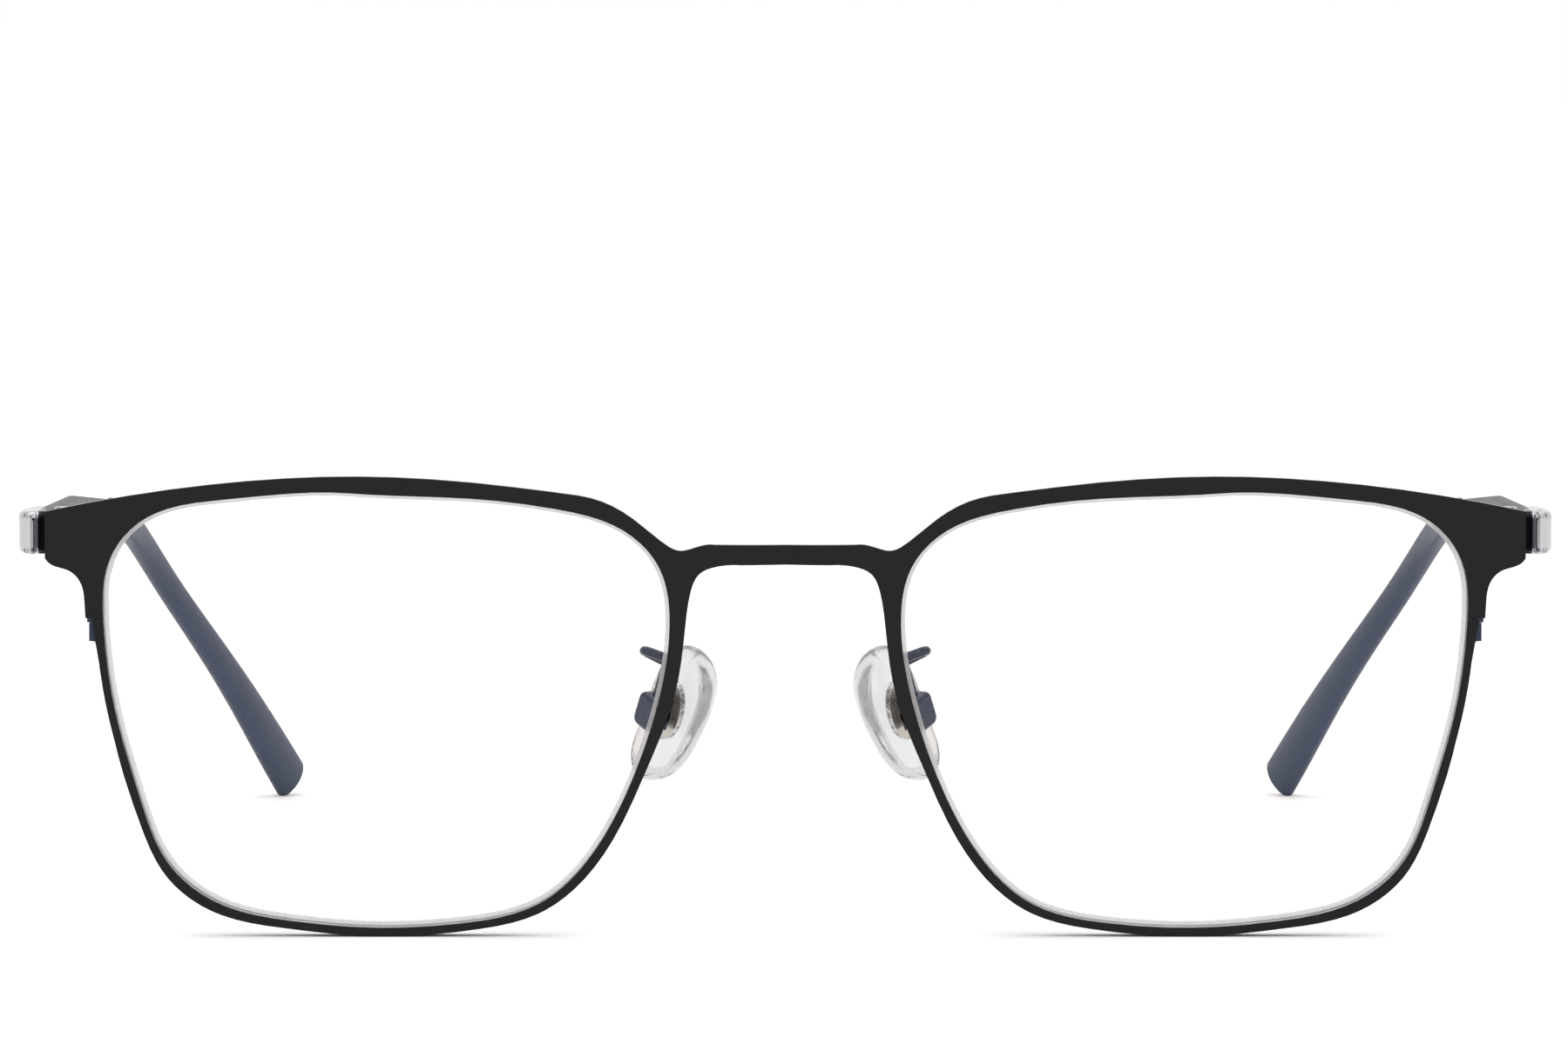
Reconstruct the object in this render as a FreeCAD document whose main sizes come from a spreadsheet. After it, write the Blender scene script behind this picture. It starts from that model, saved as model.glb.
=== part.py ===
import FreeCAD, Part
import Sketcher
import math
import os

from FreeCAD import Placement, Rotation, Vector

# Metal browline glasses with clear lenses, standing open on a table.
# Millimetres. X runs across the front (+X is the wearer's left), the front faces -Y, Z is up.
# Everything is drawn for the wearer's left side; the right side is its mirror image.

SIZES = {
    "plate_thickness": 0.8,       # cut front sheet
    "eyewire_depth": 1.6,         # grooved wire behind the sheet
    "eyewire_width": 0.8,
    "groove_depth": 0.45,         # lens groove, measured outwards from the opening
    "groove_width": 0.6,
    "groove_setback": 0.5,        # from the front of the eyewire to the groove
    "lens_clearance": 0.02,
    "lens_thickness": 2.0,
    "lens_radius": 265.0,         # front curve
    "lens_shelf": 0.42,           # ground shelf round the back of the lens
    "lens_vertex": 0.4,           # lens centre stands this far proud of the sheet
    "bridge_arch": 1.7,           # how far the bridge bows forwards
    "seam_height": 29.46,
    "seam_gap": 0.12,
    "lug_bottom": 35.35,
    "lug_height": 4.0,
    "barrel_radius": 1.0,
    "barrel_height": 1.05,
    "knuckle_height": 1.1,
    "knuckle_gap": 0.1,
    "screw_radius": 0.45,
    "screw_fit": 0.05,
    "insert_thickness": 0.8,
    "pin_radius": 0.3,
}

TO_ORIGIN = Placement(Vector(0, -66.6, 0), Rotation())
SMALLEST_CUT = 0.01               # cubic millimetres
FACET_TOLERANCE = 0.005

HINGE_AXIS = (67.2, 9.3)          # x, y of the temple hinge
HINGE_BOTTOM = 35.45
LOCK_AXIS = (63.7, 3.2)           # x, y of the rim lock screw
LENS_CENTRE = (36.75, 20.94)      # x, z
PAD_CENTRE = Vector(11.1, 9.4, 20.2)
PAD_SPLAY = 40.0                  # degrees the pad turns to face forwards
PAD_LEAN = 24.0                   # degrees its top leans inwards

# Lens opening, counter-clockwise seen from the front, starting at the top.
OPENING = [
    (40.1, 41.05), (28.1, 40.49), (20.9, 39.55), (14.8, 37.54), (11.63, 34.18), (10.66, 29.22),
    (11.21, 23.94), (12.71, 18.34), (14.91, 12.74), (17.62, 7.94), (22.59, 3.14), (29.8, 1.25),
    (37.5, 0.83), (45.9, 1.50), (52.44, 3.14), (57.1, 7.0), (59.5, 12.74), (61.75, 20.74),
    (62.85, 29.22), (62.17, 35.14), (59.55, 38.34), (51.3, 40.51),
]

# Left half of the front sheet, from the middle of the bridge outwards and back again.
BROW_EDGE = [
    (6.5, 36.34), (8.3, 36.05), (9.7, 35.74), (11.3, 36.51), (14.5, 39.03), (17.2, 40.4), (20.9, 41.11),
    (28.1, 41.97), (40.1, 42.6), (51.3, 42.03), (60.1, 40.9), (68.21, 39.38),
]
END_UNDERSIDE = [(68.21, 35.06), (67.5, 34.4), (66.0, 33.9), (64.95, 32.8), (64.6, 31.2), (64.5, 29.46)]
RIM_EDGE = [
    (63.96, 29.46), (63.02, 23.94), (61.32, 15.94), (59.5, 10.34), (57.3, 5.8), (52.9, 2.34),
    (46.0, 0.75), (37.5, 0.0), (29.0, 0.6), (22.36, 2.34), (18.4, 5.5), (15.14, 10.34),
    (12.6, 15.94), (10.2, 22.34), (9.26, 28.26), (8.8, 31.6), (7.9, 33.6), (6.5, 34.28),
    (4.0, 34.5),
]
BRIDGE_TOP = 36.42
BRIDGE_BOTTOM = 34.6
BEND_X = 8.2                      # bend lines where the bridge leaves the flat sheet

# Temple: x, y, z of points down the middle of the arm and the tip.
ARM_STATIONS = [Vector(69.1, 8.75, 37.4), Vector(68.3, 40.0, 36.0), Vector(67.0, 80.0, 33.1)]
ARM_SECTIONS = [(1.3, 3.1), (1.15, 4.0), (1.1, 3.3)]
TIP_STATIONS = [
    Vector(67.0, 80.0, 33.1), Vector(66.5, 91.0, 31.9), Vector(65.4, 101.0, 29.0), Vector(62.8, 110.0, 23.3),
    Vector(58.4, 120.0, 15.1), Vector(54.4, 128.5, 7.1), Vector(51.8, 133.5, 1.76),
]
TIP_SECTIONS = [(2.4, 3.7), (2.4, 3.4), (2.4, 3.1), (2.4, 3.0), (2.5, 3.5), (2.7, 4.5), (2.7, 4.9)]
TIP_CAP_LENGTH = 0.5              # chamfered end of the tip
TIP_CAP_SECTION = (1.7, 3.9)
CORE_RADIUS = 0.5
CORE_FIT = 0.05

# Seen from the rim side: nearly straight on the outer side, bowed towards the nose.
PAD_OUTLINE = [
    (0.6, 6.4), (-1.8, 6.4), (-3.6, 5.0), (-4.2, 2.2), (-3.8, -0.9), (-2.6, -4.8), (-0.3, -7.4), (2.0, -7.9),
    (3.2, -6.8), (3.5, -3.4), (3.1, 1.6), (2.2, 4.9),
]

doc = FreeCAD.newDocument("glasses")
sheet = doc.addObject("Spreadsheet::Sheet", "Sizes")
for row, (alias, value) in enumerate(SIZES.items(), start=1):
    sheet.set("A%d" % row, alias)
    sheet.set("B%d" % row, str(value))
    sheet.setAlias("B%d" % row, alias)
doc.recompute()


def bind(feature, prop, formula):
    feature.setExpression(prop, formula)


def new_body(label, placement=None):
    """A body drawn with the front sheet at y = 0, then moved so the glasses are centred on y = 0."""
    body = doc.addObject("PartDesign::Body", label)
    body.Label = label
    body.Placement = TO_ORIGIN * (placement or Placement())
    return body


def new_sketch(body, plane, placement=None):
    """A sketch on one of the body's origin planes, moved by a placement in that plane's axes."""
    sketch = body.newObject("Sketcher::SketchObject", body.Name + "_sketch")
    support = [item for item in body.Origin.OriginFeatures if item.Role == plane][0]
    sketch.AttachmentSupport = [(support, "")]
    sketch.MapMode = "FlatFace"
    sketch.AttachmentOffset = placement or Placement()
    return sketch


def front_sketch(body, y):
    """A sketch facing forwards whose plane is at this y; its axes are X and Z."""
    return new_sketch(body, "XZ_Plane", Placement(Vector(0, 0, -y), Rotation()))


def plan_sketch(body, z):
    """A sketch seen from above whose plane is at this z; its axes are X and Y."""
    return new_sketch(body, "XY_Plane", Placement(Vector(0, 0, z), Rotation()))


def add_feature(body, kind, sketch, length=None, reverse=False):
    feature = body.newObject("PartDesign::" + kind, body.Name + "_" + kind)
    feature.Profile = sketch
    feature.Reversed = reverse
    if isinstance(length, str):
        bind(feature, "Length", length)
    elif length is not None:
        feature.Length = length
    sketch.Visibility = False
    body.Tip = feature
    doc.recompute()
    return feature


def faceted_volume(shape):
    """Volume inside the shape's facets, which stays steady where spline outlines meet flat faces."""
    points, facets = shape.tessellate(FACET_TOLERANCE)
    return sum(points[a].dot(points[b].cross(points[c])) for a, b, c in facets) / 6


def cut(body, sketch, length, reverse=False):
    """Pocket that must really remove something."""
    before = faceted_volume(body.Tip.Shape)
    add_feature(body, "Pocket", sketch, length, reverse)
    removed = before - faceted_volume(body.Tip.Shape)
    if removed < SMALLEST_CUT:
        raise RuntimeError("a cut in %s removed only %.4f" % (body.Label, removed))


def flat(point):
    return Vector(point[0], point[1], 0)


def closed_curve(points):
    curve = Part.BSplineCurve()
    curve.interpolate(Points=[flat(point) for point in points], PeriodicFlag=True)
    return curve


def open_curve(points):
    curve = Part.BSplineCurve()
    curve.interpolate(Points=[flat(point) for point in points])
    return curve


def grown_curve(points, distance, samples=48):
    """The closed curve through the points, moved outwards by a distance."""
    curve = closed_curve(points)
    span = curve.LastParameter - curve.FirstParameter
    moved = []
    for index in range(samples):
        at = curve.FirstParameter + span * index / samples
        tangent = Vector(curve.tangent(at)[0])
        tangent.normalize()
        place = curve.value(at)
        moved.append((place.x + tangent.y * distance, place.y - tangent.x * distance))
    return closed_curve(moved)


def add_lines(sketch, points, closed=True):
    ends = points[1:] + points[:1] if closed else points[1:]
    for start, end in zip(points, ends):
        sketch.addGeometry(Part.LineSegment(flat(start), flat(end)), False)


def add_circle(sketch, centre, radius, formula=None):
    index = sketch.addGeometry(Part.Circle(flat(centre), Vector(0, 0, 1), radius), False)
    if formula:
        number = sketch.addConstraint(Sketcher.Constraint("Radius", index, radius))
        sketch.setExpression("Constraints[%d]" % number, formula)


def add_arc(sketch, start, middle, end):
    sketch.addGeometry(Part.Arc(flat(start), flat(middle), flat(end)), False)


def add_rectangle(sketch, x0, y0, x1, y1):
    add_lines(sketch, [(x0, y0), (x1, y0), (x1, y1), (x0, y1)])


def add_rounded_rectangle(sketch, width, height, radius):
    """Rectangle centred on the sketch origin with round corners."""
    x, y = width / 2, height / 2
    k = radius * (1 - 0.5 ** 0.5)
    add_lines(sketch, [(-x + radius, -y), (x - radius, -y)], closed=False)
    add_arc(sketch, (x - radius, -y), (x - k, -y + k), (x, -y + radius))
    add_lines(sketch, [(x, -y + radius), (x, y - radius)], closed=False)
    add_arc(sketch, (x, y - radius), (x - k, y - k), (x - radius, y))
    add_lines(sketch, [(x - radius, y), (-x + radius, y)], closed=False)
    add_arc(sketch, (-x + radius, y), (-x + k, y - k), (-x, y - radius))
    add_lines(sketch, [(-x, y - radius), (-x, -y + radius)], closed=False)
    add_arc(sketch, (-x, -y + radius), (-x + k, -y + k), (-x + radius, -y))


def mirrored(points):
    return [(-x, z) for x, z in points]


def path_directions(stations):
    """Direction of travel at each station, averaged from its neighbours."""
    directions = []
    for index in range(len(stations)):
        before = stations[max(index - 1, 0)]
        after = stations[min(index + 1, len(stations) - 1)]
        directions.append((after - before).normalize())
    return directions


def section_sketch(body, centre, direction):
    """A sketch square to a direction of travel; its second axis is as near upright as it can be."""
    upright = Vector(0, 0, 1)
    if abs(direction.z) > 0.95:
        upright = Vector(0, -1, 0)
    return section_plane(body, centre, direction.cross(upright).normalize(), direction)


def loft(body, sketches, kind="AdditiveLoft"):
    feature = body.newObject("PartDesign::" + kind, body.Name + "_" + kind)
    feature.Profile = sketches[0]
    feature.Sections = sketches[1:]
    for sketch in sketches:
        sketch.Visibility = False
    body.Tip = feature
    doc.recompute()
    return feature


def tube(body, stations, radius, kind="AdditiveLoft", directions=None):
    sketches = []
    for centre, direction in zip(stations, directions or path_directions(stations)):
        sketch = section_sketch(body, centre, direction)
        add_circle(sketch, (0, 0), radius)
        sketches.append(sketch)
    return loft(body, sketches, kind)


def section_plane(body, centre, across, direction):
    """A sketch square to a direction of travel, with its first axis pointing across."""
    turn = Rotation(across, Vector(0, 0, 0), direction, "ZXY")
    plane = Placement(Vector(), Rotation(Vector(1, 0, 0), 90))
    return new_sketch(body, "XZ_Plane", plane.inverse() * Placement(centre, turn))


def bent_wire(body, corners, radius, bend):
    """Round wire along the straight legs between corners, turning each inner corner in a round bend."""
    legs = [(after - before).normalize() for before, after in zip(corners, corners[1:])]
    start = corners[0]
    for corner, leg, following in zip(corners[1:], legs, legs[1:] + [None]):
        turn = leg.getAngle(following) if following else 0
        end = corner - leg * (bend * math.tan(turn / 2))
        straight = section_sketch(body, start, leg)
        add_circle(straight, (0, 0), radius)
        add_feature(body, "Pad", straight, (end - start).Length)
        if following:
            inwards = (following - leg * leg.dot(following)).normalize()
            section = section_plane(body, end + inwards * bend, inwards, leg)
            add_circle(section, (-bend, 0), radius)
            elbow = body.newObject("PartDesign::Revolution", body.Name + "_bend")
            elbow.Profile = section
            elbow.ReferenceAxis = (section, ["V_Axis"])
            elbow.Angle = math.degrees(turn)
            body.Tip = elbow
            doc.recompute()
            start = corner + following * (bend * math.tan(turn / 2))


def size(alias):
    return SIZES[alias]


# Front sheet: a strip bowed forwards at the bridge, cut to the outline of the front.

def build_front_plate():
    body = new_body("front_plate")
    thick = size("plate_thickness")
    arch = size("bridge_arch")
    reach, inner = 69.0, BEND_X - 0.5
    strip = plan_sketch(body, 0)
    add_lines(strip, [(-BEND_X, 0), (-reach, 0), (-reach, thick), (-inner, thick)], closed=False)
    add_arc(strip, (-inner, thick), (0, thick - arch), (inner, thick))
    add_lines(strip, [(inner, thick), (reach, thick), (reach, 0), (BEND_X, 0)], closed=False)
    add_arc(strip, (BEND_X, 0), (0, -arch), (-BEND_X, 0))
    add_feature(body, "Pad", strip, 44.0)

    around = front_sketch(body, -5)
    add_rectangle(around, -75, -5, 75, 50)
    for turn in (list, mirrored):
        around.addGeometry(open_curve(turn(BROW_EDGE)), False)
        around.addGeometry(open_curve(turn(END_UNDERSIDE)), False)
        around.addGeometry(open_curve(turn(RIM_EDGE)), False)
        add_lines(around, turn([(0, BRIDGE_TOP), BROW_EDGE[0]]), closed=False)
        add_lines(around, turn([BROW_EDGE[-1], END_UNDERSIDE[0]]), closed=False)
        add_lines(around, turn([END_UNDERSIDE[-1], RIM_EDGE[0]]), closed=False)
        add_lines(around, turn([RIM_EDGE[-1], (0, BRIDGE_BOTTOM)]), closed=False)
    cut(body, around, 10.0)

    openings = front_sketch(body, -5)
    openings.addGeometry(closed_curve(OPENING), False)
    openings.addGeometry(closed_curve(mirrored(OPENING)), False)
    cut(body, openings, 10.0)
    cut_seam(body, -1, both=True)
    return body


def cut_seam(body, y, both=False):
    seam = front_sketch(body, y)
    low = size("seam_height") - size("seam_gap") / 2
    high = low + size("seam_gap")
    add_rectangle(seam, 62.2, low, 65.0, high)
    if both:
        add_rectangle(seam, -65.0, low, -62.2, high)
    cut(body, seam, 6.0)


def build_eyewire():
    body = new_body("eyewire_left")
    ring = front_sketch(body, size("plate_thickness"))
    ring.addGeometry(grown_curve(OPENING, size("eyewire_width")), False)
    ring.addGeometry(closed_curve(OPENING), False)
    add_feature(body, "Pad", ring, "Sizes.eyewire_depth", reverse=True)
    groove = front_sketch(body, size("plate_thickness") + size("groove_setback"))
    groove.addGeometry(grown_curve(OPENING, size("groove_depth")), False)
    cut(body, groove, "Sizes.groove_width")
    cut_seam(body, 0)
    return body


def build_lens():
    centre_x, centre_z = LENS_CENTRE
    body = new_body("lens_left", Placement(Vector(centre_x, 0, centre_z), Rotation()))
    outline = [(x - centre_x, z - centre_z) for x, z in OPENING]
    reach, radius = 33.0, size("lens_radius")
    front = -size("lens_vertex")
    back = front + size("lens_thickness")

    def sag(x):
        return radius - (radius ** 2 - x ** 2) ** 0.5

    profile = plan_sketch(body, 0)
    add_arc(profile, (0, front), (reach / 2, front + sag(reach / 2)), (reach, front + sag(reach)))
    add_lines(profile, [(reach, front + sag(reach)), (reach, back + sag(reach))], closed=False)
    add_arc(profile, (reach, back + sag(reach)), (reach / 2, back + sag(reach / 2)), (0, back))
    add_lines(profile, [(0, back), (0, front)], closed=False)
    disc = body.newObject("PartDesign::Revolution", "lens_disc")
    disc.Profile = profile
    disc.ReferenceAxis = (profile, ["V_Axis"])
    disc.Angle = 360
    body.Tip = disc
    doc.recompute()

    shelf = size("plate_thickness") + size("groove_setback") + size("groove_width")
    for start, depth, inset in ((-5, 5 + shelf, size("lens_clearance")), (shelf, 5, size("lens_shelf"))):
        edging = front_sketch(body, start)
        add_circle(edging, (0, 0), 45)
        edging.addGeometry(grown_curve(outline, -inset), False)
        cut(body, edging, depth)

    bevel = front_sketch(body, size("plate_thickness") + size("groove_setback"))
    bevel.addGeometry(grown_curve(outline, size("groove_depth") - size("lens_clearance")), False)
    bevel.addGeometry(grown_curve(outline, -0.3), False)
    add_feature(body, "Pad", bevel, "Sizes.groove_width", reverse=True)
    return body


# Closing blocks behind the outer rim: two short barrels drawn together by a screw.

def build_closing_block(label, bottom, height, radius, bore):
    body = new_body(label)
    x, y = LOCK_AXIS
    rim_back = size("plate_thickness") + size("eyewire_depth")
    profile = plan_sketch(body, bottom)
    add_lines(profile, [(x - radius, y), (x - radius, rim_back), (x + radius, rim_back), (x + radius, y)],
              closed=False)
    add_arc(profile, (x + radius, y), (x, y + radius), (x - radius, y))
    add_feature(body, "Pad", profile, height)
    hole = plan_sketch(body, bottom + height)
    add_circle(hole, LOCK_AXIS, bore)
    cut(body, hole, height)
    return body


def build_screw(label, axis, bottom, top, radius, head_radius, head_height, formula=None):
    """Slotted screw standing upright, its head resting on the surface at 'top'."""
    body = new_body(label)
    shank = plan_sketch(body, bottom)
    add_circle(shank, axis, radius, formula)
    add_feature(body, "Pad", shank, top - bottom)
    head = plan_sketch(body, top)
    add_circle(head, axis, head_radius)
    add_feature(body, "Pad", head, head_height)
    slot = plan_sketch(body, top + head_height)
    add_rectangle(slot, axis[0] - head_radius, axis[1] - head_radius * 0.15,
                  axis[0] + head_radius, axis[1] + head_radius * 0.15)
    cut(body, slot, head_height * 0.5)
    return body


# End piece: the strip that turns the corner from the front sheet back to the hinge.

def build_lug():
    body = new_body("endpiece_lug_left")
    profile = plan_sketch(body, size("lug_bottom"))
    back = size("plate_thickness")
    add_lines(profile, [(66.3, 2.3), (66.3, back), (68.8, back), (68.95, 0.3)], closed=False)
    outside = [(68.95, 0.3), (69.9, 0.55), (70.55, 1.4), (70.8, 2.8), (70.6, 5.6), (69.95, 8.35)]
    profile.addGeometry(open_curve(outside), False)
    add_lines(profile, [(69.95, 8.35), (68.5, 8.35), (68.75, 3.4)], closed=False)
    add_arc(profile, (68.75, 3.4), (68.4, 2.65), (67.6, 2.3))
    add_lines(profile, [(67.6, 2.3), (66.3, 2.3)], closed=False)
    add_feature(body, "Pad", profile, "Sizes.lug_height")
    return body


def build_front_barrels():
    body = new_body("front_hinge_left")
    x, y = HINGE_AXIS
    radius = size("barrel_radius")
    stack = 2 * size("barrel_height") + size("knuckle_height") + 2 * size("knuckle_gap")
    leaf = plan_sketch(body, HINGE_BOTTOM)
    # The leaf lies against the sloping inner side of the end piece.
    add_lines(leaf, [(66.9, 4.6), (68.689, 4.6), (68.523, 7.9), (66.9, 7.9)])
    add_feature(body, "Pad", leaf, stack)
    for bottom in (HINGE_BOTTOM, HINGE_BOTTOM + stack - size("barrel_height")):
        barrel = plan_sketch(body, bottom)
        add_circle(barrel, HINGE_AXIS, radius, "Sizes.barrel_radius")
        add_feature(body, "Pad", barrel, "Sizes.barrel_height")
        web = plan_sketch(body, bottom)
        add_rectangle(web, 66.9, 7.5, 68.1, y)
        add_feature(body, "Pad", web, "Sizes.barrel_height")
    hole = plan_sketch(body, HINGE_BOTTOM + stack)
    add_circle(hole, HINGE_AXIS, size("screw_radius") + 0.01)
    cut(body, hole, stack)
    return body


def build_temple_knuckle():
    body = new_body("temple_hinge_left")
    bottom = HINGE_BOTTOM + size("barrel_height") + size("knuckle_gap")
    height = size("knuckle_height")
    x, y = HINGE_AXIS
    barrel = plan_sketch(body, bottom)
    add_circle(barrel, HINGE_AXIS, size("barrel_radius"), "Sizes.barrel_radius")
    add_feature(body, "Pad", barrel, "Sizes.knuckle_height")
    web = plan_sketch(body, bottom)
    add_rectangle(web, 67.4, y, 68.15, 11.5)
    add_feature(body, "Pad", web, "Sizes.knuckle_height")
    leaf = plan_sketch(body, HINGE_BOTTOM + 0.4)
    # The leaf lies against the inner side of the arm.
    add_lines(leaf, [(67.6, 10.8), (arm_inner_x(10.8), 10.8), (arm_inner_x(15.2), 15.2), (67.6, 15.2)])
    add_feature(body, "Pad", leaf, height + 1.7)
    hole = plan_sketch(body, bottom + height)
    add_circle(hole, HINGE_AXIS, size("screw_radius") + size("screw_fit"))
    cut(body, hole, height)
    return body


def arm_inner_x(y):
    """X of the inner side of the temple arm at this y."""
    start, middle = ARM_STATIONS[0], ARM_STATIONS[1]
    share = (y - start.y) / (middle.y - start.y)
    centre = start.x + (middle.x - start.x) * share
    width = ARM_SECTIONS[0][0] + (ARM_SECTIONS[1][0] - ARM_SECTIONS[0][0]) * share
    return centre - width / 2


def build_temple_arm():
    body = new_body("temple_arm_left")
    for first in (0, 1):
        pair = []
        for station, (width, height) in list(zip(ARM_STATIONS, ARM_SECTIONS))[first:first + 2]:
            place = Placement(Vector(station.x, station.z, -station.y), Rotation())
            sketch = new_sketch(body, "XZ_Plane", place)
            add_rounded_rectangle(sketch, width, height, 0.4)
            pair.append(sketch)
        loft(body, pair)
    tube(body, TIP_STATIONS[:-1], CORE_RADIUS, directions=tip_directions()[:-1])
    return body


def tip_directions():
    """The tip starts square to Y, flush with the end of the arm."""
    directions = path_directions(TIP_STATIONS)
    directions[0] = Vector(0, 1, 0)
    return directions


def oval_section(body, station, direction, width, height):
    sketch = section_sketch(body, station, direction)
    sketch.addGeometry(Part.Ellipse(Vector(0, height / 2, 0), Vector(width / 2, 0, 0), Vector()), False)
    return sketch


def build_temple_tip():
    body = new_body("temple_tip_left")
    directions = tip_directions()
    loft(body, [oval_section(body, station, direction, *section)
                for station, direction, section in zip(TIP_STATIONS, directions, TIP_SECTIONS)])
    before = body.Shape.Volume
    tube(body, TIP_STATIONS[:-1], CORE_RADIUS + CORE_FIT, "SubtractiveLoft", directions[:-1])
    if body.Shape.Volume >= before:
        raise RuntimeError("the tip has no bore")
    end, direction = TIP_STATIONS[-1], directions[-1]
    loft(body, [oval_section(body, end, direction, *TIP_SECTIONS[-1]),
                oval_section(body, end + direction * TIP_CAP_LENGTH, direction, *TIP_CAP_SECTION)])
    return body


# Nose pads. Their own frame: x across the pad, y up it, z out of it towards the rim.

def pad_rotation():
    splay = Rotation(Vector(0, 0, 1), -PAD_SPLAY)
    outwards = splay.multVec(Vector(1, 0, 0))
    across = Vector(0, 0, 1).cross(outwards)
    upright = Rotation(across, Vector(0, 0, 1), outwards, "ZXY")
    return upright * Rotation(Vector(0, 0, 1), PAD_LEAN)


def pad_placement():
    return Placement(PAD_CENTRE, pad_rotation())


def pad_to_world(x, y, z):
    return pad_placement().multVec(Vector(x, y, z))


PAD_LEVELS = [(0, -0.5), (0.7, -0.02), (1.7, -0.15), (2.6, -1.6)]   # depth and inset of the outline
PIN_DEPTH = 1.25                  # the rocking pin lies this far outside the pad
BOX_HEIGHT = 3.4
BOX_MIDDLE = 1.6                  # the arm meets the box this far outside the pad
INSERT_HALF_HEIGHT = 2.95
INSERT_HALF_WIDTH = 1.95


def add_insert_outline(sketch):
    outline = Part.Ellipse(Vector(0, INSERT_HALF_HEIGHT, 0), Vector(INSERT_HALF_WIDTH, 0, 0), Vector())
    sketch.addGeometry(outline, False)


def build_nose_pad():
    body = new_body("nose_pad_left", pad_placement())
    levels = []
    for depth, growth in PAD_LEVELS:
        level = new_sketch(body, "XY_Plane", Placement(Vector(0, 0, -depth), Rotation()))
        level.addGeometry(grown_curve(PAD_OUTLINE, growth), False)
        levels.append(level)
    loft(body, levels)
    seat = new_sketch(body, "XY_Plane")
    add_insert_outline(seat)
    cut(body, seat, 0.9)
    return body


def build_pad_insert():
    body = new_body("pad_insert_left", pad_placement())
    plate = new_sketch(body, "XY_Plane", Placement(Vector(0, 0, -0.9), Rotation()))
    add_insert_outline(plate)
    add_feature(body, "Pad", plate, "Sizes.insert_thickness")
    tongue = new_sketch(body, "XY_Plane", Placement(Vector(0, 0, -0.5), Rotation()))
    add_rectangle(tongue, -0.45, -0.8, 0.45, 0.8)
    add_feature(body, "Pad", tongue, 2.3)
    hole = new_sketch(body, "YZ_Plane", Placement(Vector(0, 0, 1), Rotation()))
    add_circle(hole, (0, PIN_DEPTH), size("pin_radius") + size("screw_fit"))
    cut(body, hole, 2.0)
    return body


def build_pad_box():
    body = new_body("pad_box_left", pad_placement())
    box = new_sketch(body, "XY_Plane", Placement(Vector(0, 0, 0.4), Rotation()))
    add_rounded_rectangle(box, 2.7, BOX_HEIGHT, 0.8)
    add_feature(body, "Pad", box, 2.3)
    cavity = new_sketch(body, "XY_Plane", Placement(Vector(0, 0, 0.4), Rotation()))
    add_rectangle(cavity, -0.75, -1.2, 0.75, 1.2)
    cut(body, cavity, 1.75, reverse=True)
    hole = new_sketch(body, "YZ_Plane", Placement(Vector(0, 0, 3), Rotation()))
    add_circle(hole, (0, PIN_DEPTH), size("pin_radius") + 0.01)
    cut(body, hole, 6.0)
    return body


def build_pad_screw():
    body = new_body("pad_screw_left", pad_placement())
    shank = new_sketch(body, "YZ_Plane", Placement(Vector(0, 0, -1.35), Rotation()))
    add_circle(shank, (0, PIN_DEPTH), size("pin_radius"), "Sizes.pin_radius")
    add_feature(body, "Pad", shank, 2.7)
    head = new_sketch(body, "YZ_Plane", Placement(Vector(0, 0, 1.35), Rotation()))
    add_circle(head, (0, PIN_DEPTH), 0.55)
    add_feature(body, "Pad", head, 0.3)
    return body


def build_pad_arm():
    """Wire from the back of the rim, out in a hairpin, and down into the top of the pad box."""
    body = new_body("pad_arm_left")
    rim_back = size("plate_thickness") + size("eyewire_depth")
    foot = Vector(10.35, rim_back, 25.3)
    hairpin = Vector(13.95, 4.6, 26.5)
    box_top = pad_to_world(0, BOX_HEIGHT / 2, BOX_MIDDLE)
    above_box = pad_to_world(0, BOX_HEIGHT / 2 + 3.4, BOX_MIDDLE)
    bent_wire(body, [foot, foot + Vector(0, 1.2, 0), hairpin, above_box, box_top], 0.45, 0.7)
    return body


front_plate = build_front_plate()
stack_top = HINGE_BOTTOM + 2 * SIZES["barrel_height"] + SIZES["knuckle_height"] + 2 * SIZES["knuckle_gap"]
left_side = [
    build_eyewire(),
    build_lens(),
    build_closing_block("closing_block_upper_left", 28.95, 2.3, 0.8, 0.36),
    build_closing_block("closing_block_lower_left", 27.2, 1.7, 0.62, 0.36),
    build_screw("rim_lock_screw_left", LOCK_AXIS, 27.0, 31.25, 0.35, 0.6, 0.3),
    build_lug(),
    build_front_barrels(),
    build_screw("hinge_screw_left", HINGE_AXIS, 35.3, stack_top, 0.45, 0.8, 0.3, "Sizes.screw_radius"),
    build_temple_knuckle(),
    build_temple_arm(),
    build_temple_tip(),
    build_pad_arm(),
    build_pad_box(),
    build_pad_screw(),
    build_pad_insert(),
    build_nose_pad(),
]
nodes = [front_plate] + left_side
for body in left_side:
    mirror = doc.addObject("Part::Mirroring", body.Name.replace("_left", "_right"))
    mirror.Label = body.Label.replace("_left", "_right")
    mirror.Source = body
    mirror.Normal = Vector(1, 0, 0)
    nodes.append(mirror)
doc.recompute()

for item in doc.Objects:
    if "Invalid" in item.State or "Error" in item.State:
        raise RuntimeError("%s did not build: %s" % (item.Label, item.State))

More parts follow.
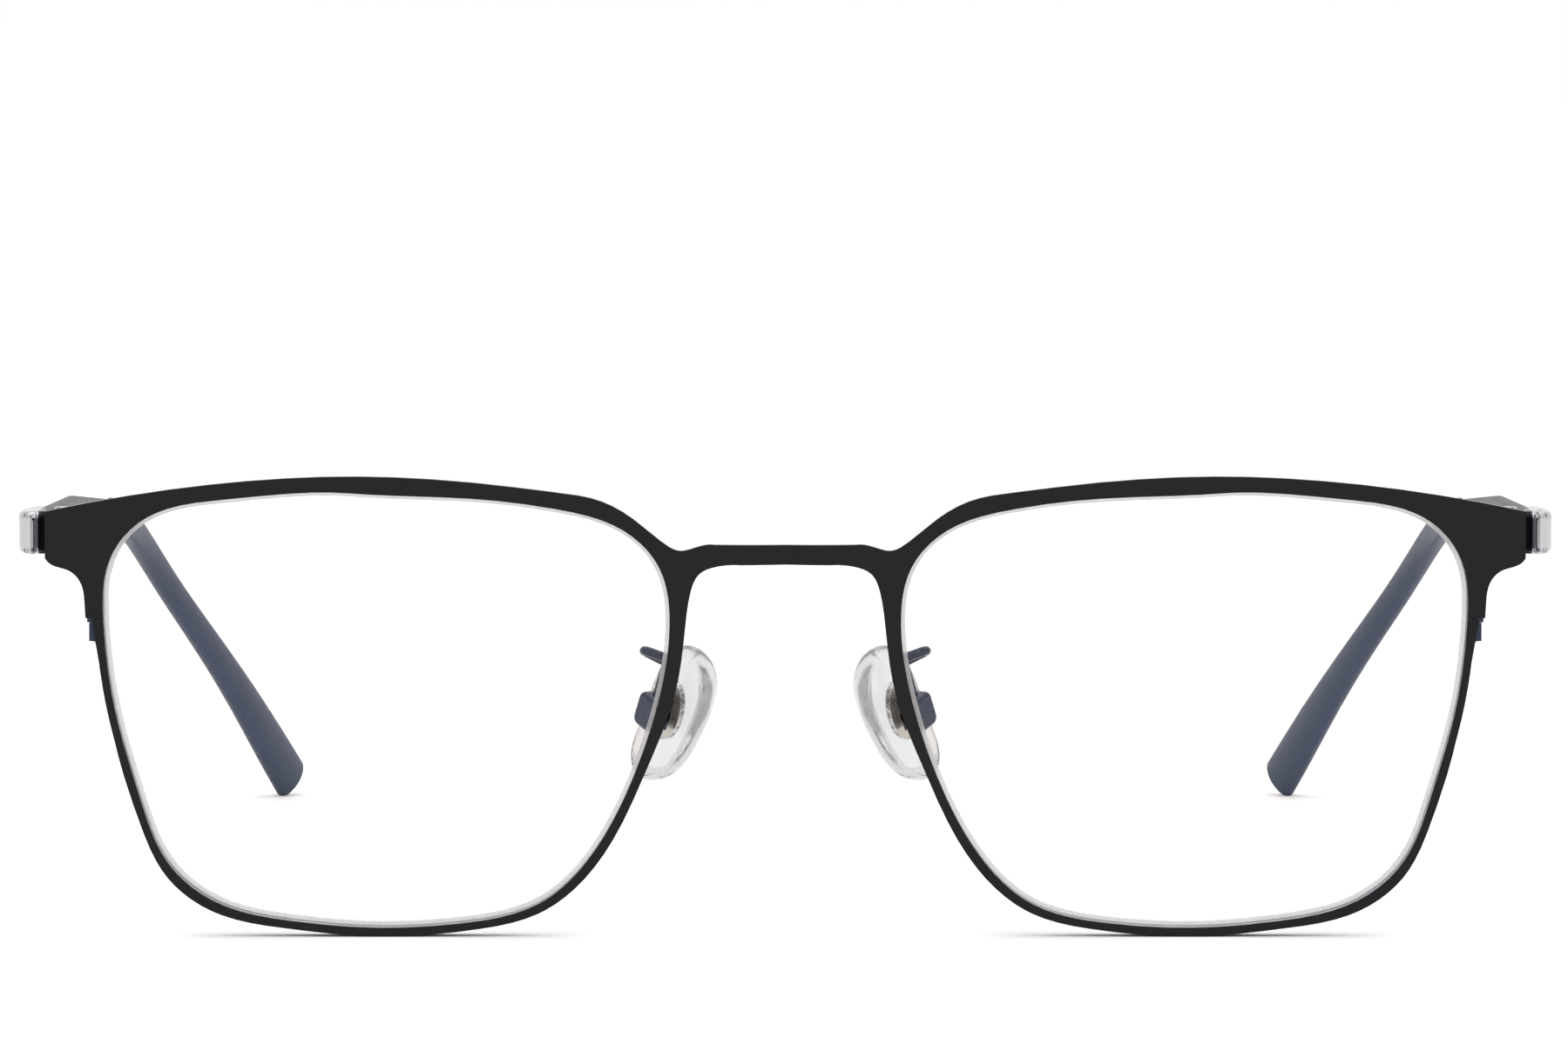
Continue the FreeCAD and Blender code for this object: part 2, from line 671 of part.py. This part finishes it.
os.makedirs("parts", exist_ok=True)
for node in nodes:
    shape = node.Shape
    if shape.isNull() or not shape.isValid():
        raise RuntimeError(node.Label + " has a bad shape")
    shape.exportStep("parts/%s.step" % node.Label)
    box = shape.BoundBox
    print("%-26s solids %d vol %9.3f  x %7.2f %7.2f  y %7.2f %7.2f  z %6.2f %6.2f" % (
        node.Label, len(shape.Solids), shape.Volume, box.XMin, box.XMax, box.YMin, box.YMax,
        box.ZMin, box.ZMax))
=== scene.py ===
import math

import bpy
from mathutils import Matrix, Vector


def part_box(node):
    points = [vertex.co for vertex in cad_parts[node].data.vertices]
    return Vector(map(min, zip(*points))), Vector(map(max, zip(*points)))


# Metal browline glasses standing open on a pale table, seen from just above the front.
# Metres. +X is the wearer's left, the front faces -Y and Z is up.

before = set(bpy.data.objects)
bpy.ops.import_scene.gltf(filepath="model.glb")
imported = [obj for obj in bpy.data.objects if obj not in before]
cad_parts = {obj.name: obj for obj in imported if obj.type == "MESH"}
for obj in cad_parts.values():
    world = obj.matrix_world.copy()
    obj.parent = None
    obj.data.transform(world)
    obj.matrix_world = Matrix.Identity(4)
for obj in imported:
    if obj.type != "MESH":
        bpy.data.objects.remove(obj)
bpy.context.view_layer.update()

MM = 0.001

# ---------------------------------------------------------------- camera

SHEET_THICKNESS = 0.8 * MM
FRONT_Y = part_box("front_plate")[1][1] - SHEET_THICKNESS    # flat face of the front sheet
CAMERA_X = -0.00012                                        # a hair off the middle
CAMERA_DISTANCE = 1.0
CAMERA_HEIGHT = 0.1123
CAMERA_PITCH = 4.228                                       # degrees below the horizon
FOCAL_LENGTH = 250                                         # millimetres, as is the sensor
SENSOR_WIDTH = 36
FAR_END = 50                                               # metres


def add_camera():
    data = bpy.data.cameras.new("camera")
    data.lens = FOCAL_LENGTH
    data.sensor_width = SENSOR_WIDTH
    data.clip_end = FAR_END
    camera = bpy.data.objects.new("camera", data)
    camera.location = (CAMERA_X, FRONT_Y - CAMERA_DISTANCE, CAMERA_HEIGHT)
    camera.rotation_euler = (math.radians(90 - CAMERA_PITCH), 0, 0)
    bpy.context.collection.objects.link(camera)
    bpy.context.scene.camera = camera


# ---------------------------------------------------------------- materials

LENS_X = 36.75 * MM                                        # middle of the lens
LENS_Z = 20.94 * MM
LENS_RADIUS = 0.265
LENS_THICKNESS = 2.0 * MM
LENS_VERTEX_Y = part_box("lens_left")[0][1]
CURVE_MARGIN = 0.06 * MM                                   # keeps the frosting off the curves
WARM_FROM = 50 * MM                                        # the lens warms from here
WARM_TO = 22 * MM                                          # to here, towards the nose
# inboard of NECK_X the end piece's neck is painted black as shade
NECK_X = 68.85 * MM                                        # the end piece steps out of its neck here
NOISE_LOW = 0.3                                            # the part of a noise that is used
NOISE_HIGH = 0.7
CUT_EDGE = 0.55                                            # Y part of the normal on a cut edge
FLAT_FACE = 0.8                                            # and on a face
GLOSSIEST = 0.85                                           # a finish's roughness varies between
DULLEST = 1.2                                              # these parts of its value


def new_material(name):
    """An empty material with its nodes, its links and its main shader."""
    material = bpy.data.materials.new(name)
    material.use_nodes = True
    shader = material.node_tree.nodes["Principled BSDF"]
    return material, material.node_tree.nodes, material.node_tree.links, shader


def noise(nodes, links, scale, detail=4.0, roughness=0.6):
    """A 3-D noise in object space."""
    coordinates = nodes.new("ShaderNodeTexCoord")
    texture = nodes.new("ShaderNodeTexNoise")
    texture.inputs["Scale"].default_value = scale
    texture.inputs["Detail"].default_value = detail
    texture.inputs["Roughness"].default_value = roughness
    links.new(coordinates.outputs["Object"], texture.inputs["Vector"])
    return texture.outputs["Fac"]


def spread(nodes, links, source, low, high):
    """Maps the middle of a noise onto the range low to high."""
    ranged = nodes.new("ShaderNodeMapRange")
    ranged.inputs["From Min"].default_value = NOISE_LOW
    ranged.inputs["From Max"].default_value = NOISE_HIGH
    ranged.inputs["To Min"].default_value = low
    ranged.inputs["To Max"].default_value = high
    links.new(source, ranged.inputs["Value"])
    return ranged.outputs["Result"]


def between(nodes, links, factor, at_zero, at_one):
    """Maps a factor of 0 to 1 onto the range at_zero to at_one."""
    ranged = nodes.new("ShaderNodeMapRange")
    ranged.inputs["To Min"].default_value = at_zero
    ranged.inputs["To Max"].default_value = at_one
    links.new(factor, ranged.inputs["Value"])
    return ranged.outputs["Result"]


def two_tone(nodes, links, factor, first, second):
    """Mixes two colours: the first where the factor is 0, the second where it is 1."""
    mix = nodes.new("ShaderNodeMix")
    mix.data_type = "RGBA"
    mix.inputs["A"].default_value = (*first, 1)
    mix.inputs["B"].default_value = (*second, 1)
    links.new(factor, mix.inputs["Factor"])
    return mix.outputs["Result"]


def bump(nodes, links, shader, height, strength, distance):
    node = nodes.new("ShaderNodeBump")
    node.inputs["Strength"].default_value = strength
    node.inputs["Distance"].default_value = distance
    links.new(height, node.inputs["Height"])
    links.new(node.outputs["Normal"], shader.inputs["Normal"])


def facing_front(nodes, links):
    """1 where a surface faces forwards or backwards, 0 on a cut edge."""
    coordinates = nodes.new("ShaderNodeTexCoord")
    parts = nodes.new("ShaderNodeSeparateXYZ")
    size = nodes.new("ShaderNodeMath")
    size.operation = "ABSOLUTE"
    step = nodes.new("ShaderNodeMapRange")
    step.inputs["From Min"].default_value = CUT_EDGE
    step.inputs["From Max"].default_value = FLAT_FACE
    links.new(coordinates.outputs["Normal"], parts.inputs["Vector"])
    links.new(parts.outputs["Y"], size.inputs[0])
    links.new(size.outputs["Value"], step.inputs["Value"])
    return step.outputs["Result"]


def coated_metal(name, dark, light, metallic, rough, grain=2500, coat=0.0, shine=0.5):
    """Lacquered or plated metal, or smooth acetate: fine orange peel, slight tone and gloss changes."""
    material, nodes, links, shader = new_material(name)
    shader.inputs["Metallic"].default_value = metallic
    shader.inputs["Specular IOR Level"].default_value = shine
    shader.inputs["Coat Weight"].default_value = coat
    shader.inputs["Coat Roughness"].default_value = 0.12
    tone = noise(nodes, links, 180)
    links.new(two_tone(nodes, links, tone, dark, light), shader.inputs["Base Color"])
    fine = noise(nodes, links, grain)
    links.new(spread(nodes, links, fine, rough * GLOSSIEST, rough * DULLEST), shader.inputs["Roughness"])
    bump(nodes, links, shader, fine, 0.08, 0.00003)
    return material


def sheet_metal(name):
    """The cut front sheet: satin black faces with paler, bluish cut edges; the edge colour is partly the
    cut edge's own bluish tone and partly a painted highlight along the edges.
    """
    material, nodes, links, shader = new_material(name)
    shader.inputs["Metallic"].default_value = 0.4
    shader.inputs["Specular IOR Level"].default_value = 0.2
    face = facing_front(nodes, links)
    # paler bluish cut edges: partly their own tone, partly a painted highlight where the edges catch the
    # light
    color = two_tone(nodes, links, face, (0.16, 0.19, 0.27), (0.010, 0.0095, 0.010))
    links.new(color, shader.inputs["Base Color"])
    fine = noise(nodes, links, 3200)
    links.new(spread(nodes, links, fine, 0.33, 0.45), shader.inputs["Roughness"])
    bump(nodes, links, shader, fine, 0.1, 0.00002)
    return material


def calculate(nodes, links, operation, first, second=None):
    """A Math node; each input is a number or another node's output."""
    node = nodes.new("ShaderNodeMath")
    node.operation = operation
    for socket, value in zip(node.inputs, (first, second)):
        if isinstance(value, (int, float)):
            socket.default_value = value
        elif value is not None:
            links.new(value, socket)
    return node.outputs["Value"]


def position(nodes, links):
    """X measured outwards from the middle of the glasses, Y and Z, in metres."""
    coordinates = nodes.new("ShaderNodeTexCoord")
    parts = nodes.new("ShaderNodeSeparateXYZ")
    links.new(coordinates.outputs["Object"], parts.inputs["Vector"])
    outwards = calculate(nodes, links, "ABSOLUTE", parts.outputs["X"])
    return outwards, parts.outputs["Y"], parts.outputs["Z"]


def lens_edge(nodes, links):
    """1 on the ground edge of the lens, between its front and rear curves, and 0 on the curves."""
    x, y, z = position(nodes, links)
    across = calculate(nodes, links, "SUBTRACT", x, LENS_X)
    up = calculate(nodes, links, "SUBTRACT", z, LENS_Z)
    square_across = calculate(nodes, links, "MULTIPLY", across, across)
    square_up = calculate(nodes, links, "MULTIPLY", up, up)
    from_axis = calculate(nodes, links, "ADD", square_across, square_up)
    curve = calculate(nodes, links, "DIVIDE", from_axis, 2 * LENS_RADIUS)
    behind_vertex = calculate(nodes, links, "SUBTRACT", y, LENS_VERTEX_Y)
    behind_curve = calculate(nodes, links, "SUBTRACT", behind_vertex, curve)
    past_middle = calculate(nodes, links, "SUBTRACT", behind_curve, LENS_THICKNESS / 2)
    off_middle = calculate(nodes, links, "ABSOLUTE", past_middle)
    return calculate(nodes, links, "LESS_THAN", off_middle, LENS_THICKNESS / 2 - CURVE_MARGIN)


def lens_plastic(name):
    """Clear coated lens, faintly warm towards the nose; its ground edge is frosted and speckled.

    Refraction is far weaker than in real plastic, where the seam of the curved face shows as a nick.
    """
    material, nodes, links, shader = new_material(name)
    shader.inputs["IOR"].default_value = 1.06
    shader.inputs["Coat Weight"].default_value = 0.2
    shader.inputs["Coat Roughness"].default_value = 0.0
    edge = lens_edge(nodes, links)
    warmth = nodes.new("ShaderNodeMapRange")
    warmth.inputs["From Min"].default_value = WARM_FROM
    warmth.inputs["From Max"].default_value = WARM_TO
    links.new(position(nodes, links)[0], warmth.inputs["Value"])
    clear = two_tone(nodes, links, warmth.outputs["Result"], (0.99, 0.965, 0.945), (0.99, 0.945, 0.92))
    grains = noise(nodes, links, 9000, detail=1.0)
    speckle = two_tone(nodes, links, grains, (0.55, 0.56, 0.58), (0.97, 0.97, 0.97))
    surface = nodes.new("ShaderNodeMix")
    surface.data_type = "RGBA"
    links.new(edge, surface.inputs["Factor"])
    links.new(clear, surface.inputs["A"])
    links.new(speckle, surface.inputs["B"])
    links.new(surface.outputs["Result"], shader.inputs["Base Color"])
    links.new(between(nodes, links, edge, 0.0, 0.5), shader.inputs["Roughness"])
    links.new(between(nodes, links, edge, 1.0, 0.35), shader.inputs["Transmission Weight"])
    return material


def end_piece(name):
    """Polished corner of the end piece; the recessed neck behind the front sheet is painted near black
    as shade.
    """
    material, nodes, links, shader = new_material(name)
    shader.inputs["Metallic"].default_value = 0.9
    # painted shade: the recessed neck inboard of NECK_X is coloured near black, the corner outside it
    # polished grey
    outside = calculate(nodes, links, "GREATER_THAN", position(nodes, links)[0], NECK_X)
    fine = noise(nodes, links, 1500)
    tone = two_tone(nodes, links, outside, (0.012, 0.012, 0.014), (0.50, 0.485, 0.50))
    links.new(tone, shader.inputs["Base Color"])
    links.new(spread(nodes, links, fine, 0.15, 0.24), shader.inputs["Roughness"])
    bump(nodes, links, shader, fine, 0.05, 0.00002)
    return material


def clear_silicone(name):
    """Moulded pad, clear with a slight grey cloud."""
    material, nodes, links, shader = new_material(name)
    shader.inputs["IOR"].default_value = 1.3
    shader.inputs["Transmission Weight"].default_value = 0.93
    cloud = noise(nodes, links, 300)
    tone = two_tone(nodes, links, cloud, (0.62, 0.62, 0.63), (0.74, 0.74, 0.75))
    links.new(tone, shader.inputs["Base Color"])
    links.new(spread(nodes, links, noise(nodes, links, 1500), 0.06, 0.16), shader.inputs["Roughness"])
    bump(nodes, links, shader, cloud, 0.12, 0.0001)
    return material


def stamped_insert(name):
    """Pale nickel plate with a fine stamped texture."""
    material, nodes, links, shader = new_material(name)
    shader.inputs["Metallic"].default_value = 0.75
    patches = noise(nodes, links, 900)
    tone = two_tone(nodes, links, patches, (0.42, 0.38, 0.33), (0.66, 0.62, 0.57))
    links.new(tone, shader.inputs["Base Color"])
    links.new(spread(nodes, links, patches, 0.22, 0.42), shader.inputs["Roughness"])
    bump(nodes, links, shader, noise(nodes, links, 1400, detail=1.0), 0.6, 0.00012)
    return material


FINISHES = {
    "front_plate": sheet_metal("front_sheet"),
    "eyewire": coated_metal("navy_rim", (0.018, 0.027, 0.052), (0.03, 0.043, 0.078), 0.5, 0.26,
                            coat=0.1, shine=0.3),
    "lens": lens_plastic("clear_lens"),
    "steel": coated_metal("bright_steel", (0.5, 0.5, 0.5), (0.62, 0.62, 0.62), 1.0, 0.25),
    "end_piece": end_piece("end_piece"),
    "arm": coated_metal("arm_lacquer", (0.02, 0.02, 0.023), (0.034, 0.034, 0.038), 0.5, 0.4, shine=0.25),
    "tip": coated_metal("tip_acetate", (0.020, 0.030, 0.062), (0.027, 0.039, 0.076), 0.0, 0.42,
                        grain=1800, shine=0.2),
    "insert": stamped_insert("pad_insert_plate"),
    "silicone": clear_silicone("clear_silicone"),
}
FINISH_OF = {
    "front_plate": "front_plate",
    "eyewire": "eyewire",
    "lens": "lens",
    "closing_block_upper": "eyewire",
    "closing_block_lower": "eyewire",
    "rim_lock_screw": "steel",
    "endpiece_lug": "end_piece",
    "front_hinge": "arm",
    "hinge_screw": "steel",
    "pad_arm": "eyewire",
    "pad_box": "eyewire",
    "pad_screw": "steel",
    "temple_hinge": "arm",
    "temple_arm": "arm",
    "temple_tip": "tip",
    "pad_insert": "insert",
    "nose_pad": "silicone",
}

# ---------------------------------------------------------------- finishes on the CAD nodes

SOFTENED = {"endpiece_lug": 0.6 * MM, "pad_box": 0.4 * MM}    # bevel width of each kind
BEVEL_SEGMENTS = 3
WELD_DISTANCE = 0.001 * MM
FLAT_ANGLE = 1                                             # degrees: facets this close are one face
SHARP_ANGLE = 35                                           # degrees: only sharper edges are rounded


def finish_nodes():
    """Gives each CAD node its material, and rounds the sharp-edged kinds."""
    for name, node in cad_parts.items():
        kind = name.removesuffix("_left").removesuffix("_right")
        material = FINISHES[FINISH_OF[kind]]
        node.data.materials.clear()
        node.data.materials.append(material)
        if kind in SOFTENED:
            soften(node, SOFTENED[kind])


def soften(node, width):
    """Rounds a CAD node's sharp edges in the render."""
    weld = node.modifiers.new("weld", "WELD")
    weld.merge_threshold = WELD_DISTANCE
    flats = node.modifiers.new("flats", "DECIMATE")
    flats.decimate_type = "DISSOLVE"
    flats.angle_limit = math.radians(FLAT_ANGLE)
    edge = node.modifiers.new("edge", "BEVEL")
    edge.use_clamp_overlap = False
    edge.width = width
    edge.segments = BEVEL_SEGMENTS
    edge.limit_method = "ANGLE"
    edge.angle_limit = math.radians(SHARP_ANGLE)


# ---------------------------------------------------------------- light and floor

FLOOR_REACH = 8.0
SKY_STRENGTH = 1.06
LIGHT_TARGET = (0, 0, 0.02)
LIGHTS = {                                                 # place, size and power in watts
    "overhead": ((0, 0.1, 0.9), (1.2, 1.2), 4.0),
    "front_left": ((-0.9, -0.7, 0.5), (0.5, 0.8), 1.2),
    "front_right": ((0.9, -0.7, 0.5), (0.5, 0.8), 1.2),
}


def add_floor():
    mesh = bpy.data.meshes.new("floor")
    low, high = -FLOOR_REACH, FLOOR_REACH
    corners = [(low, low, 0), (high, low, 0), (high, high, 0), (low, high, 0)]
    mesh.from_pydata(corners, [], [(0, 1, 2, 3)])
    floor = bpy.data.objects.new("floor", mesh)
    material, nodes, links, shader = new_material("pale_floor")
    shader.inputs["Roughness"].default_value = 0.6
    shader.inputs["Specular IOR Level"].default_value = 0.1
    tone = two_tone(nodes, links, noise(nodes, links, 6), (0.93, 0.93, 0.93), (0.95, 0.95, 0.95))
    links.new(tone, shader.inputs["Base Color"])
    mesh.materials.append(material)
    bpy.context.collection.objects.link(floor)


def add_light(name, place, size, power):
    data = bpy.data.lights.new(name, "AREA")
    data.shape = "RECTANGLE"
    data.size, data.size_y = size
    data.energy = power
    light = bpy.data.objects.new(name, data)
    light.location = place
    light.rotation_euler = (Vector(LIGHT_TARGET) - Vector(place)).to_track_quat("-Z", "Y").to_euler()
    bpy.context.collection.objects.link(light)


def add_lights():
    world = bpy.data.worlds.new("studio")
    world.use_nodes = True
    background = world.node_tree.nodes["Background"]
    background.inputs["Color"].default_value = (1, 1, 1, 1)
    background.inputs["Strength"].default_value = SKY_STRENGTH
    bpy.context.scene.world = world
    for name, (place, size, power) in LIGHTS.items():
        add_light(name, place, size, power)


add_camera()
finish_nodes()
add_floor()
add_lights()
bpy.context.scene.view_settings.view_transform = "Standard"
